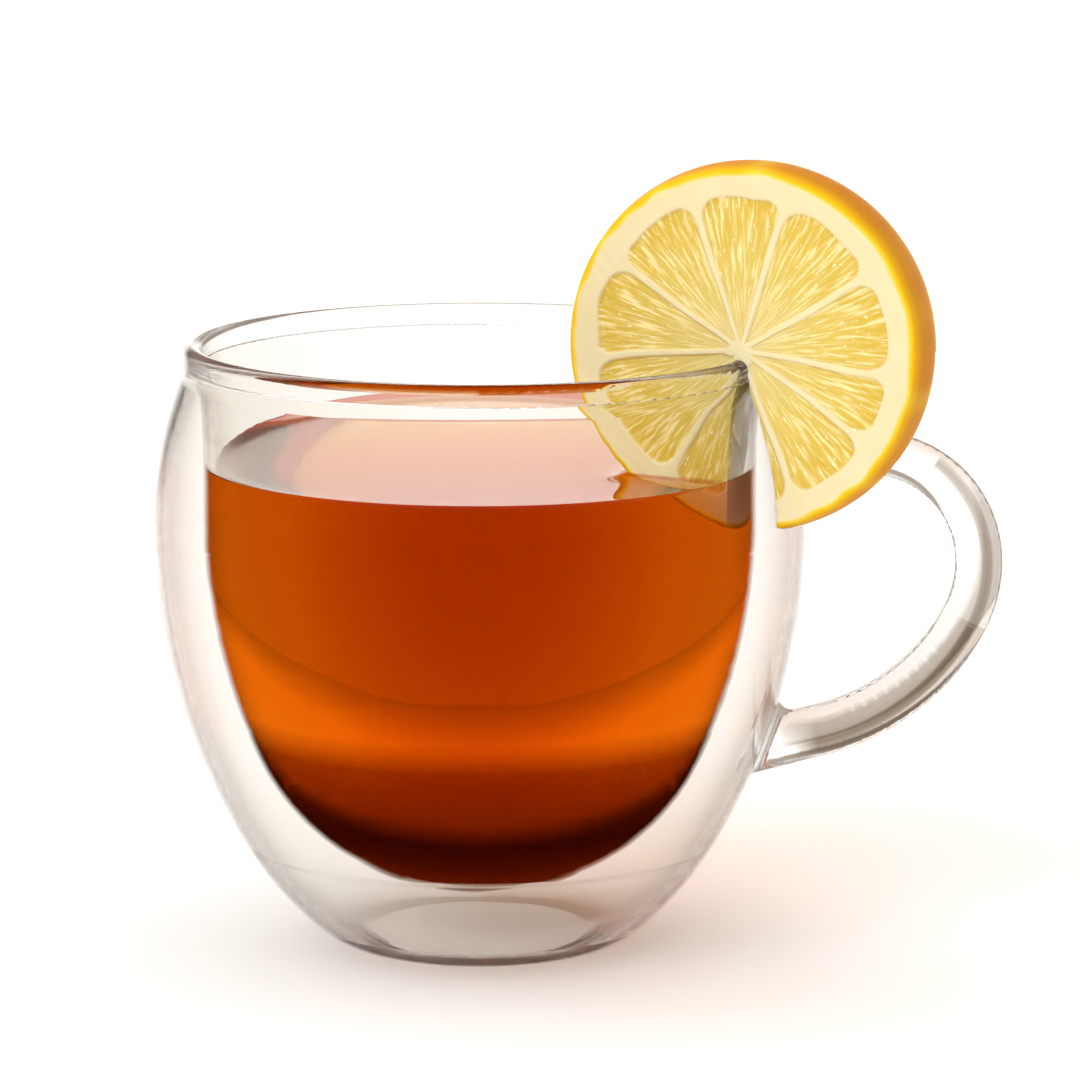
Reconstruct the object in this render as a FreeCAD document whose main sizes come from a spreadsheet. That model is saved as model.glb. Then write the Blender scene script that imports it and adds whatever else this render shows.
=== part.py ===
import FreeCAD, Part

import math
import os

import Sketcher

# A double-walled glass cup of black tea with a lemon slice hung on its lip.
# Millimetres; the origin is the centre of the flat base, +Z is up, and the handle points along +X.

Vector = FreeCAD.Vector
PARTS = "parts"
START, END, CENTRE = 1, 2, 3      # a sketch's point numbers; an arc runs counter-clockwise
ORIGIN, V_AXIS = -1, -2           # a sketch's own origin point and upright axis
RADIANS = {"Angle": math.pi / 180}    # kinds of dimension that start in radians
TOUCH = 0.01                      # how near, in mm, an edge must lie to count as being in a plane

SIZES = [
    # The outside of the cup, from its flat base up to the widest line and in again to the lip
    ("cup_height", 84.5),
    ("belly_radius", 45.0),
    ("shoulder_height", 25.2),    # from the widest line up to the rim
    ("base_inset", 30.0),         # how far the flat base's edge lies inside the widest line
    ("heel_radius", 11.6),
    ("side_turn", 30.8),          # degrees that the side bends through below the widest line
    ("waist_turn", 19.7),         # degrees of the tighter bend between the side and the heel
    # The lip, where the two walls are one
    ("lip_inset", 4.2),           # how far the lip lies inside the widest line
    ("lip_thickness", 2.5),
    ("lip_height", 2.8),          # the upright band below the rim
    ("lip_blend", 6.0),
    # The walls and the sealed gap between them
    ("outer_wall", 1.6),
    ("inner_wall", 1.5),
    ("floor_thickness", 2.4),
    ("wall_spacing", 6.7),        # from the outside of the cup to the bowl at the widest line
    ("gap_below_bowl", 5.74),
    ("gap_tip_radius", 0.3),
    ("gap_tip_depth", 3.3),       # from the rim down to the centre of the gap's rounded top
    # The bowl that holds the tea, measured on the face that looks into the gap
    ("bowl_rise", 1.9),           # how far its upright line lies above the cup's widest line
    ("bowl_side_turn", 23.4),
    ("bowl_curve_turn", 39.8),
    ("bowl_bottom_radius", 36.5),
    ("headspace", 17.6),          # from the rim down to the tea
    # The handle, a tapered glass rod: straight out, round the top, down, and back in below
    ("handle_drop", 15.35),       # from the rim down to the rod's centre where it leaves the cup
    ("handle_reach", 24.1),       # from the widest line out to the rod's centre
    ("handle_top_bend", 15.35),
    ("handle_side_bend", 17.5),
    ("handle_side_turn", 28.0),
    ("handle_lower_bend", 31.0),
    ("handle_lower_turn", 48.0),
    ("handle_root", 20.0),        # how near the axis its ends start, inside what the hollows take away
    ("handle_start_radius", 2.8),
    ("handle_end_radius", 3.85),
    ("handle_fillet", 1.8),
    # The lemon slice
    ("slice_radius", 25.4),
    ("slice_thickness", 10.0),
    ("slice_bulge", 0.8),         # how far the peel's middle stands out beyond its edges
    ("slice_edge_round", 0.5),
    ("slice_rise", 1.5),          # from the rim up to the slice's centre
    ("slice_azimuth", -20.0),     # degrees from the handle round to the slice
    ("flesh_radius", 20.7),
    ("membrane", 0.9),
    ("flesh_recess", 0.4),
]

# Where the slice's membranes run, in degrees from straight out to counter-clockwise
MEMBRANES = [-175, -120, -98, -69, -33, -7, 31, 73, 109.5, 147]

doc = FreeCAD.newDocument("tea_cup")


def make_sheet():
    sheet = doc.addObject("Spreadsheet::Sheet", "Sizes")
    for row, (alias, value) in enumerate(SIZES, start=1):
        cell = f"B{row}"
        sheet.set(f"A{row}", alias)
        sheet.set(cell, str(value))
        sheet.setAlias(cell, alias)
    doc.recompute()
    return sheet


def formula(text):
    """An expression in which each alias is read from the sheet."""
    for alias, _ in SIZES:
        text = text.replace(f"[{alias}]", f"Sizes.{alias}")
    return text


def value_of(text):
    """What a formula comes to with the sheet's present sizes."""
    for alias, _ in SIZES:
        text = text.replace(f"[{alias}]", f"({sheet.get(alias)})")
    return FreeCAD.Units.Quantity(text).Value


# Lines and levels that several sub-parts share
BELLY_LEVEL = "[cup_height] - [shoulder_height]"
LIP_RADIUS = "[belly_radius] - [lip_inset]"
LIP_ROUND = "[lip_thickness] / 2"
LIP_MIDDLE = "[belly_radius] - [lip_inset] - [lip_thickness] / 2"
BASE_RADIUS = "[belly_radius] - [base_inset]"
GAP_RADIUS = "[belly_radius] - [outer_wall]"
BOWL_RADIUS = "[belly_radius] - [wall_spacing]"
BOWL_LEVEL = "[cup_height] - [shoulder_height] + [bowl_rise]"
BOWL_BOTTOM = "[floor_thickness] + [gap_below_bowl]"
INSIDE_RADIUS = "[belly_radius] - [wall_spacing] - [inner_wall]"
INSIDE_BOTTOM = "[floor_thickness] + [gap_below_bowl] + [inner_wall]"
TEA_LEVEL = "[cup_height] - [headspace]"
SLICE_LEVEL = "[cup_height] + [slice_rise]"
HANDLE_TOP = "[cup_height] - [handle_drop]"
HANDLE_SIDE = "[belly_radius] + [handle_reach]"
HANDLE_WIDTH = "2 * [handle_end_radius]"


def new_body(name):
    body = doc.addObject("PartDesign::Body", name)
    body.Label = name
    return body


def new_sketch(body, name, role, offset=None):
    """A sketch on one of the body's own planes, moved along the plane's normal by a formula."""
    sketch = body.newObject("Sketcher::SketchObject", name)
    plane = next(item for item in body.Origin.OriginFeatures if item.Role == role)
    sketch.AttachmentSupport = [(plane, "")]
    sketch.MapMode = "FlatFace"
    if offset:
        sketch.setExpression("AttachmentOffset.Base.z", formula(offset))
    return sketch


def bind(sketch, name, text, kind, *where):
    """Adds a dimension that starts from the drawn value and then follows a formula."""
    index = sketch.addConstraint(Sketcher.Constraint(kind, *where, value_of(text) * RADIANS.get(kind, 1)))
    sketch.renameConstraint(index, name)
    sketch.setExpression(f"Constraints.{name}", formula(text))


class Pen:
    """Draws one run of lines and arcs in a sketch. Each goes on from the last in the same heading."""

    def __init__(self, sketch, start, heading):
        self.sketch = sketch
        self.at = Vector(*start, 0)
        self.heading = heading
        self.runs = []            # each run's curve number, entry point and exit point
        self.smooth = False

    def add(self, curve, end, backwards=False):
        number = self.sketch.addGeometry(curve, False)
        ends = (2, 1) if backwards else (1, 2)
        if self.runs:
            kind = "Tangent" if self.smooth else "Coincident"
            last = self.runs[-1]
            self.sketch.addConstraint(Sketcher.Constraint(kind, last[0], last[2], number, ends[0]))
        self.runs.append((number, *ends))
        self.at = end
        self.smooth = True
        return number

    def line(self, length):
        turn = math.radians(self.heading)
        end = self.at + Vector(math.cos(turn), math.sin(turn), 0) * length
        return self.add(Part.LineSegment(self.at, end), end)

    def arc(self, radius, turn):
        """Bends left through a positive turn, right through a negative one."""
        side = 90 if turn > 0 else -90
        inward = math.radians(self.heading + side)
        centre = self.at + Vector(math.cos(inward), math.sin(inward), 0) * radius
        first = math.radians(self.heading - side)
        last = first + math.radians(turn)
        end = centre + Vector(math.cos(last), math.sin(last), 0) * radius
        circle = Part.Circle(centre, Vector(0, 0, 1), radius)
        low, high = sorted((first, last))
        self.heading += turn
        return self.add(Part.ArcOfCircle(circle, low, high), end, backwards=turn < 0)

    def corner(self, turn):
        self.heading += turn
        self.smooth = False

    def close(self):
        last, first = self.runs[-1], self.runs[0]
        self.sketch.addConstraint(Sketcher.Constraint("Coincident", last[0], last[2], first[0], first[1]))


def swell(across, down, last_radius, side_turn, curve_turn):
    """Radii of the two bends above the last one, for a side that starts upright and ends level."""
    first, second = math.radians(side_turn), math.radians(side_turn + curve_turn)
    sink = down - last_radius * (1 - math.sin(second))
    shift = across - last_radius * math.cos(second)
    a, b = math.sin(first), math.sin(second) - math.sin(first)
    c, d = 1 - math.cos(first), math.cos(first) - math.cos(second)
    spread = a * d - b * c
    return (sink * d - b * shift) / spread, (a * shift - c * sink) / spread


def reach_round(across, up, round_radius):
    """Radius and turn of an arc that starts upright and ends smooth with a small circle.

    The circle's centre lies across and up from the start. Its radius is negative where the two
    bend opposite ways.
    """
    radius = (across ** 2 + up ** 2 - round_radius ** 2) / (2 * (across - round_radius))
    return radius, math.degrees(math.atan2(up, radius - across))


def draw_outside(body, name):
    """The cup's outside down to the axis, filled."""
    sketch = new_sketch(body, name, "XZ_Plane")
    belly, level = value_of("[belly_radius]"), value_of(BELLY_LEVEL)
    lip, blend, top = value_of(LIP_RADIUS), value_of("[lip_blend]"), value_of("[cup_height]")
    band = top - value_of("[lip_height]")
    rounding, heel = value_of(LIP_ROUND), value_of("[heel_radius]")
    side_turn, waist_turn = value_of("[side_turn]"), value_of("[waist_turn]")
    base = value_of(BASE_RADIUS)
    side, waist = swell(belly - base, level, heel, side_turn, waist_turn)
    shoulder, lean = reach_round(belly - lip - blend, band - level, -blend)

    pen = Pen(sketch, (0, 0), 0)
    floor = pen.line(base)
    heel_arc = pen.arc(heel, 90 - side_turn - waist_turn)
    waist_arc = pen.arc(waist, waist_turn)
    side_arc = pen.arc(side, side_turn)
    pen.arc(shoulder, lean)
    blend_arc = pen.arc(blend, -lean)
    band_line = pen.line(top - band - rounding)
    round_arc = pen.arc(rounding, 90)
    top_line = pen.line(lip - rounding)
    pen.corner(90)
    axis = pen.line(top)
    pen.close()

    sketch.addConstraint([
        Sketcher.Constraint("Coincident", floor, START, ORIGIN, 1),
        Sketcher.Constraint("Horizontal", floor),
        Sketcher.Constraint("Horizontal", side_arc, CENTRE, side_arc, END),
        Sketcher.Constraint("Vertical", band_line),
        Sketcher.Constraint("Horizontal", top_line),
        Sketcher.Constraint("Vertical", axis),
    ])
    bind(sketch, "base", BASE_RADIUS, "DistanceX", ORIGIN, 1, floor, END)
    bind(sketch, "heel", "[heel_radius]", "Radius", heel_arc)
    bind(sketch, "waist_turn", "[waist_turn]", "Angle", waist_arc)
    bind(sketch, "side_turn", "[side_turn]", "Angle", side_arc)
    bind(sketch, "belly", "[belly_radius]", "DistanceX", ORIGIN, 1, side_arc, END)
    bind(sketch, "belly_level", BELLY_LEVEL, "DistanceY", ORIGIN, 1, side_arc, END)
    bind(sketch, "blend", "[lip_blend]", "Radius", blend_arc)
    bind(sketch, "lip", LIP_RADIUS, "DistanceX", ORIGIN, 1, band_line, START)
    bind(sketch, "band", "[cup_height] - [lip_height]", "DistanceY", ORIGIN, 1, band_line, START)
    bind(sketch, "rounding", LIP_ROUND, "Radius", round_arc)
    bind(sketch, "top", "[cup_height]", "DistanceY", ORIGIN, 1, axis, START)
    for dimension, curve, radius in (("side", side_arc, side), ("waist", waist_arc, waist)):
        index = sketch.addConstraint(Sketcher.Constraint("Radius", curve, radius))
        sketch.renameConstraint(index, dimension)
        sketch.setDriving(index, False)
    return sketch, (side, waist)


def draw_bowl(body, name):
    """The bowl's inside, from its bottom up over the inner half of the lip and past the rim."""
    sketch = new_sketch(body, name, "XZ_Plane")
    radius, level, wall = value_of(INSIDE_RADIUS), value_of(BOWL_LEVEL), value_of("[inner_wall]")
    bottom, top = value_of(INSIDE_BOTTOM), value_of("[cup_height]")
    side_turn, curve_turn = value_of("[bowl_side_turn]"), value_of("[bowl_curve_turn]")
    last = value_of("[bowl_bottom_radius]") - wall
    side, curve = swell(radius, level - bottom, last, side_turn, curve_turn)
    middle, rounding = value_of(LIP_MIDDLE), value_of(LIP_ROUND)
    flare, lean = reach_round(middle - radius, top - rounding - level, rounding)
    above = rounding

    pen = Pen(sketch, (0, bottom), 0)
    bottom_arc = pen.arc(last, 90 - side_turn - curve_turn)
    curve_arc = pen.arc(curve, curve_turn)
    side_arc = pen.arc(side, side_turn)
    pen.arc(flare, -lean)
    round_arc = pen.arc(rounding, lean - 90)
    pen.corner(90)
    rise = pen.line(above)
    pen.corner(90)
    lid = pen.line(middle)
    pen.corner(90)
    axis = pen.line(top + above - bottom)
    pen.close()

    sketch.addConstraint([
        Sketcher.Constraint("PointOnObject", bottom_arc, START, V_AXIS),
        Sketcher.Constraint("PointOnObject", bottom_arc, CENTRE, V_AXIS),
        Sketcher.Constraint("Horizontal", side_arc, CENTRE, side_arc, END),
        Sketcher.Constraint("Vertical", round_arc, CENTRE, round_arc, START),
        Sketcher.Constraint("Vertical", rise),
        Sketcher.Constraint("Horizontal", lid),
        Sketcher.Constraint("PointOnObject", axis, START, V_AXIS),
    ])
    bind(sketch, "bottom", INSIDE_BOTTOM, "DistanceY", ORIGIN, 1, bottom_arc, START)
    bind(sketch, "bottom_radius", "[bowl_bottom_radius] - [inner_wall]", "Radius", bottom_arc)
    bind(sketch, "curve_turn", "[bowl_curve_turn]", "Angle", curve_arc)
    bind(sketch, "side_turn", "[bowl_side_turn]", "Angle", side_arc)
    bind(sketch, "inside", INSIDE_RADIUS, "DistanceX", ORIGIN, 1, side_arc, END)
    bind(sketch, "inside_level", BOWL_LEVEL, "DistanceY", ORIGIN, 1, side_arc, END)
    bind(sketch, "rounding", LIP_ROUND, "Radius", round_arc)
    bind(sketch, "lip_middle", LIP_MIDDLE, "DistanceX", ORIGIN, 1, rise, START)
    bind(sketch, "rim", "[cup_height]", "DistanceY", ORIGIN, 1, rise, START)
    bind(sketch, "above", f"[cup_height] + {LIP_ROUND}", "DistanceY", ORIGIN, 1, rise, END)
    return sketch


def draw_gap(body, name, outside, outside_radii):
    """The sealed gap: up the outer wall's inner face, round the tip and down the bowl's outer face."""
    sketch = new_sketch(body, name, "XZ_Plane")
    wall, floor = value_of("[outer_wall]"), value_of("[floor_thickness]")
    radius, level = value_of(GAP_RADIUS), value_of(BELLY_LEVEL)
    side_turn, waist_turn = value_of("[side_turn]"), value_of("[waist_turn]")
    side, waist = (each - wall for each in outside_radii)
    first, second = math.radians(side_turn), math.radians(side_turn + waist_turn)
    waist_end = Vector(
        radius - side * (1 - math.cos(first)) - waist * (math.cos(first) - math.cos(second)),
        level - side * math.sin(first) - waist * (math.sin(second) - math.sin(first)), 0)
    heel = (waist_end.y - floor) / (1 - math.sin(second))
    flat = waist_end.x - heel * math.cos(second)
    middle, tip = value_of(LIP_MIDDLE), value_of("[gap_tip_radius]")
    tip_level = value_of("[cup_height] - [gap_tip_depth]")
    shoulder, lean = reach_round(radius - middle, tip_level - level, tip)

    bowl, bowl_level, bottom = value_of(BOWL_RADIUS), value_of(BOWL_LEVEL), value_of(BOWL_BOTTOM)
    flare, bowl_lean = reach_round(middle - bowl, tip_level - bowl_level, tip)
    bowl_side_turn, bowl_curve_turn = value_of("[bowl_side_turn]"), value_of("[bowl_curve_turn]")
    last = value_of("[bowl_bottom_radius]")
    bowl_side, bowl_curve = swell(bowl, bowl_level - bottom, last, bowl_side_turn, bowl_curve_turn)

    pen = Pen(sketch, (0, floor), 0)
    floor_line = pen.line(flat)
    pen.arc(heel, 90 - side_turn - waist_turn)
    waist_arc = pen.arc(waist, waist_turn)
    side_arc = pen.arc(side, side_turn)
    pen.arc(shoulder, lean)
    tip_arc = pen.arc(tip, 180 - lean - bowl_lean)
    flare_arc = pen.arc(flare, bowl_lean)
    bowl_side_arc = pen.arc(bowl_side, -bowl_side_turn)
    bowl_curve_arc = pen.arc(bowl_curve, -bowl_curve_turn)
    bottom_arc = pen.arc(last, bowl_side_turn + bowl_curve_turn - 90)
    pen.corner(90)
    axis = pen.line(bottom - floor)
    pen.close()

    sketch.addConstraint([
        Sketcher.Constraint("PointOnObject", floor_line, START, V_AXIS),
        Sketcher.Constraint("Horizontal", floor_line),
        Sketcher.Constraint("Horizontal", side_arc, CENTRE, side_arc, END),
        Sketcher.Constraint("Horizontal", flare_arc, CENTRE, flare_arc, END),
        Sketcher.Constraint("PointOnObject", bottom_arc, CENTRE, V_AXIS),
        Sketcher.Constraint("PointOnObject", axis, START, V_AXIS),
    ])
    bind(sketch, "floor", "[floor_thickness]", "DistanceY", ORIGIN, 1, floor_line, START)
    bind(sketch, "waist_turn", "[waist_turn]", "Angle", waist_arc)
    bind(sketch, "side_turn", "[side_turn]", "Angle", side_arc)
    for dimension, curve in (("side", side_arc), ("waist", waist_arc)):
        index = sketch.addConstraint(Sketcher.Constraint("Radius", curve, sketch.Geometry[curve].Radius))
        sketch.renameConstraint(index, dimension)
        offset = f"{outside.Name}.Constraints.{dimension} - Sizes.outer_wall * 1 mm"
        sketch.setExpression(f"Constraints.{dimension}", offset)
    bind(sketch, "wide", GAP_RADIUS, "DistanceX", ORIGIN, 1, side_arc, END)
    bind(sketch, "wide_level", BELLY_LEVEL, "DistanceY", ORIGIN, 1, side_arc, END)
    bind(sketch, "tip", "[gap_tip_radius]", "Radius", tip_arc)
    bind(sketch, "tip_middle", LIP_MIDDLE, "DistanceX", ORIGIN, 1, tip_arc, CENTRE)
    bind(sketch, "tip_level", "[cup_height] - [gap_tip_depth]", "DistanceY", ORIGIN, 1, tip_arc, CENTRE)
    bind(sketch, "bowl", BOWL_RADIUS, "DistanceX", ORIGIN, 1, flare_arc, END)
    bind(sketch, "bowl_level", BOWL_LEVEL, "DistanceY", ORIGIN, 1, flare_arc, END)
    bind(sketch, "bowl_side_turn", "[bowl_side_turn]", "Angle", bowl_side_arc)
    bind(sketch, "bowl_curve_turn", "[bowl_curve_turn]", "Angle", bowl_curve_arc)
    bind(sketch, "bottom_radius", "[bowl_bottom_radius]", "Radius", bottom_arc)
    bind(sketch, "bottom", BOWL_BOTTOM, "DistanceY", ORIGIN, 1, axis, START)
    return sketch


def turn_profile(body, kind, name, sketch):
    """Revolves a profile a full turn about its sketch's upright axis, adding or cutting."""
    feature = body.newObject(f"PartDesign::{kind}", name)
    feature.Profile = sketch
    feature.ReferenceAxis = (sketch, ["V_Axis"])
    feature.Angle = 360
    doc.recompute()
    return feature


def draw_handle_path(body, name):
    """The rod's centre line, from inside the cup, out, round and back in lower down."""
    sketch = new_sketch(body, name, "XZ_Plane")
    root, top, side = value_of("[handle_root]"), value_of(HANDLE_TOP), value_of(HANDLE_SIDE)
    top_bend, side_bend = value_of("[handle_top_bend]"), value_of("[handle_side_bend]")
    side_turn, lower_turn = value_of("[handle_side_turn]"), value_of("[handle_lower_turn]")
    lower_bend = value_of("[handle_lower_bend]")

    pen = Pen(sketch, (root, top), 0)
    start = pen.line(side - top_bend - root)
    top_arc = pen.arc(top_bend, -90)
    side_arc = pen.arc(side_bend, -side_turn)
    lower_arc = pen.arc(lower_bend, -lower_turn)
    way_back = (pen.at.x - root) / -math.cos(math.radians(pen.heading))
    end = pen.line(way_back)

    sketch.addConstraint([
        Sketcher.Constraint("Horizontal", start),
        Sketcher.Constraint("Horizontal", top_arc, CENTRE, top_arc, START),
    ])
    bind(sketch, "root", "[handle_root]", "DistanceX", ORIGIN, 1, start, START)
    bind(sketch, "top", HANDLE_TOP, "DistanceY", ORIGIN, 1, start, START)
    bind(sketch, "top_bend", "[handle_top_bend]", "Radius", top_arc)
    bind(sketch, "side", HANDLE_SIDE, "DistanceX", ORIGIN, 1, top_arc, START)
    bind(sketch, "side_bend", "[handle_side_bend]", "Radius", side_arc)
    bind(sketch, "side_turn", "[handle_side_turn]", "Angle", side_arc)
    bind(sketch, "lower_bend", "[handle_lower_bend]", "Radius", lower_arc)
    bind(sketch, "lower_turn", "[handle_lower_turn]", "Angle", lower_arc)
    bind(sketch, "end", "[handle_root]", "DistanceX", ORIGIN, 1, end, END)
    return sketch, pen.at, pen.heading


def draw_rod_section(body, name, radius, place):
    """A round section of the handle, square to its centre line at the given placement."""
    sketch = body.newObject("Sketcher::SketchObject", name)
    plane = next(item for item in body.Origin.OriginFeatures if item.Role == "YZ_Plane")
    sketch.AttachmentSupport = [(plane, "")]
    sketch.MapMode = "FlatFace"
    sketch.AttachmentOffset = place
    circle = sketch.addGeometry(Part.Circle(Vector(0, 0, 0), Vector(0, 0, 1), value_of(radius)), False)
    sketch.addConstraint(Sketcher.Constraint("Coincident", circle, CENTRE, ORIGIN, 1))
    bind(sketch, "radius", radius, "Radius", circle)
    return sketch


def sweep_handle(body):
    path, end, heading = draw_handle_path(body, "handle_path")
    upright, sideways = Vector(0, 1, 0), Vector(0, 0, 1)
    start = FreeCAD.Placement(upright * value_of(HANDLE_TOP) + sideways * value_of("[handle_root]"),
                              FreeCAD.Rotation())
    finish = FreeCAD.Placement(upright * end.y + sideways * end.x,
                               FreeCAD.Rotation(Vector(1, 0, 0), -heading))
    first = draw_rod_section(body, "handle_start", "[handle_start_radius]", start)
    last = draw_rod_section(body, "handle_end", "[handle_end_radius]", finish)
    first.setExpression("AttachmentOffset.Base.y", formula(HANDLE_TOP))
    first.setExpression("AttachmentOffset.Base.z", formula("[handle_root]"))
    doc.recompute()
    pipe = body.newObject("PartDesign::AdditivePipe", "handle")
    pipe.Profile = first
    pipe.Spine = path
    pipe.Transformation = "Multisection"
    pipe.Sections = [last]
    doc.recompute()
    return pipe


def joint_edges(shape):
    """Names of the edges where the handle meets the cup's outside."""
    names = []
    for number, edge in enumerate(shape.Edges, start=1):
        box = edge.BoundBox
        beside_cup = value_of("[handle_root]") < box.XMin and box.XMax < value_of("[belly_radius]")
        as_wide_as_rod = value_of("[handle_start_radius]") < box.YLength < value_of(HANDLE_WIDTH)
        if beside_cup and as_wide_as_rod:
            names.append(f"Edge{number}")
    return names


def build_glass():
    """One solid of glass: two walls joined at the lip, a sealed gap between them, and the handle."""
    body = new_body("glass_cup")
    outside, radii = draw_outside(body, "outside_profile")
    turn_profile(body, "Revolution", "outside", outside)
    pipe = sweep_handle(body)
    fillet = body.newObject("PartDesign::Fillet", "handle_fillet")
    fillet.Base = (pipe, joint_edges(pipe.Shape))
    fillet.setExpression("Radius", formula("[handle_fillet]"))
    doc.recompute()
    turn_profile(body, "Groove", "bowl", draw_bowl(body, "bowl_profile"))
    turn_profile(body, "Groove", "gap", draw_gap(body, "gap_profile", outside, radii))
    return body


def build_slice_blank(name):
    """The whole round slice about its own centre: X out from the cup, Y through it, Z up."""
    body = new_body(name)
    sketch = new_sketch(body, name + "_profile", "XY_Plane")
    radius, half = value_of("[slice_radius]"), value_of("[slice_thickness]") / 2
    edge = radius - value_of("[slice_bulge]")
    corners = [Vector(0, -half, 0), Vector(edge, -half, 0), Vector(edge, half, 0), Vector(0, half, 0)]
    back = sketch.addGeometry(Part.LineSegment(corners[0], corners[1]), False)
    peel = sketch.addGeometry(Part.Arc(corners[1], Vector(radius, 0, 0), corners[2]), False)
    front = sketch.addGeometry(Part.LineSegment(corners[2], corners[3]), False)
    axis = sketch.addGeometry(Part.LineSegment(corners[3], corners[0]), False)
    sketch.addConstraint([
        Sketcher.Constraint("Coincident", back, END, peel, START),
        Sketcher.Constraint("Coincident", peel, END, front, START),
        Sketcher.Constraint("Coincident", front, END, axis, START),
        Sketcher.Constraint("Coincident", axis, END, back, START),
        Sketcher.Constraint("Horizontal", back),
        Sketcher.Constraint("Horizontal", front),
        Sketcher.Constraint("PointOnObject", axis, START, V_AXIS),
        Sketcher.Constraint("PointOnObject", axis, END, V_AXIS),
        Sketcher.Constraint("Symmetric", peel, START, peel, END, -1),
    ])
    bind(sketch, "edge", "[slice_radius] - [slice_bulge]", "DistanceX", ORIGIN, 1, peel, START)
    bind(sketch, "thickness", "[slice_thickness]", "DistanceY", peel, START, peel, END)
    crown = "([slice_bulge] ^ 2 + [slice_thickness] ^ 2 / 4) / (2 * [slice_bulge])"
    bind(sketch, "crown", crown, "Radius", peel)
    blank = turn_profile(body, "Revolution", name + "_round", sketch)

    rims = [f"Edge{number}" for number, ring in enumerate(blank.Shape.Edges, start=1)
            if isinstance(ring.Curve, Part.Circle) and abs(abs(ring.BoundBox.YMin) - half) < TOUCH]
    fillet = body.newObject("PartDesign::Fillet", name + "_edges")
    fillet.Base = (blank, rims)
    fillet.setExpression("Radius", formula("[slice_edge_round]"))
    doc.recompute()
    return body


def hang_on_lip(body):
    """Places a slice upright over the middle of the lip, edge on to the cup's axis."""
    body.setExpression("Placement.Base.x", formula(f"({LIP_MIDDLE}) * cos([slice_azimuth] * 1 deg)"))
    body.setExpression("Placement.Base.y", formula(f"({LIP_MIDDLE}) * sin([slice_azimuth] * 1 deg)"))
    body.setExpression("Placement.Base.z", formula(SLICE_LEVEL))
    body.setExpression("Placement.Rotation.Angle", formula("[slice_azimuth]"))
    doc.recompute()


def draw_segment(sketch, number, low, high):
    """One wedge of flesh between two membranes, its sides half a membrane from their middles."""
    radius, half = value_of("[flesh_radius]"), value_of("[membrane]") / 2
    low_angle, high_angle = math.radians(low), math.radians(high)
    middle = (low_angle + high_angle) / 2
    tip_distance = half / math.sin((high_angle - low_angle) / 2)
    tip = Vector(math.cos(middle), math.sin(middle), 0) * tip_distance
    margin = math.asin(half / radius)
    first, last = low_angle + margin, high_angle - margin
    first_end = Vector(math.cos(first), math.sin(first), 0) * radius
    last_end = Vector(math.cos(last), math.sin(last), 0) * radius
    rim = Part.ArcOfCircle(Part.Circle(Vector(0, 0, 0), Vector(0, 0, 1), radius), first, last)
    outward = sketch.addGeometry(Part.LineSegment(tip, first_end), False)
    arc = sketch.addGeometry(rim, False)
    inward = sketch.addGeometry(Part.LineSegment(last_end, tip), False)
    sketch.addConstraint([
        Sketcher.Constraint("Coincident", outward, END, arc, START),
        Sketcher.Constraint("Coincident", arc, END, inward, START),
        Sketcher.Constraint("Coincident", inward, END, outward, START),
        Sketcher.Constraint("Coincident", arc, CENTRE, ORIGIN, 1),
        Sketcher.Constraint("Angle", outward, low_angle),
        Sketcher.Constraint("Angle", inward, high_angle + math.pi),
    ])
    bind(sketch, f"flesh_{number}", "[flesh_radius]", "Radius", arc)
    bind(sketch, f"low_side_{number}", "[membrane] / 2", "Distance", ORIGIN, 1, outward)
    bind(sketch, f"high_side_{number}", "[membrane] / 2", "Distance", ORIGIN, 1, inward)


def sink_flesh(body):
    """Lets the flesh lie a little below the membranes and the pith, on both faces."""
    sketch = new_sketch(body, "segments", "XZ_Plane", "[slice_thickness] / 2")
    for number, low in enumerate(MEMBRANES):
        high = MEMBRANES[(number + 1) % len(MEMBRANES)]
        draw_segment(sketch, number, low, high if high > low else high + 360)
    pocket = body.newObject("PartDesign::Pocket", "flesh_front")
    pocket.Profile = sketch
    pocket.setExpression("Length", formula("[flesh_recess]"))
    doc.recompute()
    mirror = body.newObject("PartDesign::Mirrored", "flesh_back")
    mirror.Originals = [pocket]
    plane = next(item for item in body.Origin.OriginFeatures if item.Role == "XZ_Plane")
    mirror.MirrorPlane = (plane, [""])
    body.Tip = mirror
    doc.recompute()


def build_slice():
    """The slice, slit from below so that it straddles the lip and follows both walls down."""
    whole = build_slice_blank("whole_slice")
    sink_flesh(whole)
    hang_on_lip(whole)
    walls = new_body("both_walls")
    profile, _ = draw_outside(walls, "walls_profile")
    turn_profile(walls, "Revolution", "walls_outside", profile)
    turn_profile(walls, "Groove", "walls_bowl", draw_bowl(walls, "walls_bowl_profile"))
    return cut("lemon_slice", whole, walls)


def build_tea():
    """The tea: all of the bowl's inside up to its level, less the room that the slice takes."""
    filling = new_body("filling")
    turn_profile(filling, "Revolution", "bowl_inside", draw_bowl(filling, "inside_profile"))
    sketch = new_sketch(filling, "tea_level", "XY_Plane", TEA_LEVEL)
    circle = sketch.addGeometry(
        Part.Circle(Vector(0, 0, 0), Vector(0, 0, 1), value_of("[belly_radius]")), False)
    sketch.addConstraint(Sketcher.Constraint("Coincident", circle, CENTRE, ORIGIN, 1))
    bind(sketch, "clear_of_bowl", "[belly_radius]", "Radius", circle)
    pocket = filling.newObject("PartDesign::Pocket", "above_tea")
    pocket.Profile = sketch
    pocket.Type = "ThroughAll"
    pocket.Reversed = True
    doc.recompute()
    room = build_slice_blank("slice_room")
    hang_on_lip(room)
    return cut("tea", filling, room)


def cut(label, base, tool):
    result = doc.addObject("Part::Cut", label)
    result.Label = label
    result.Base = base
    result.Tool = tool
    doc.recompute()
    return result


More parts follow.
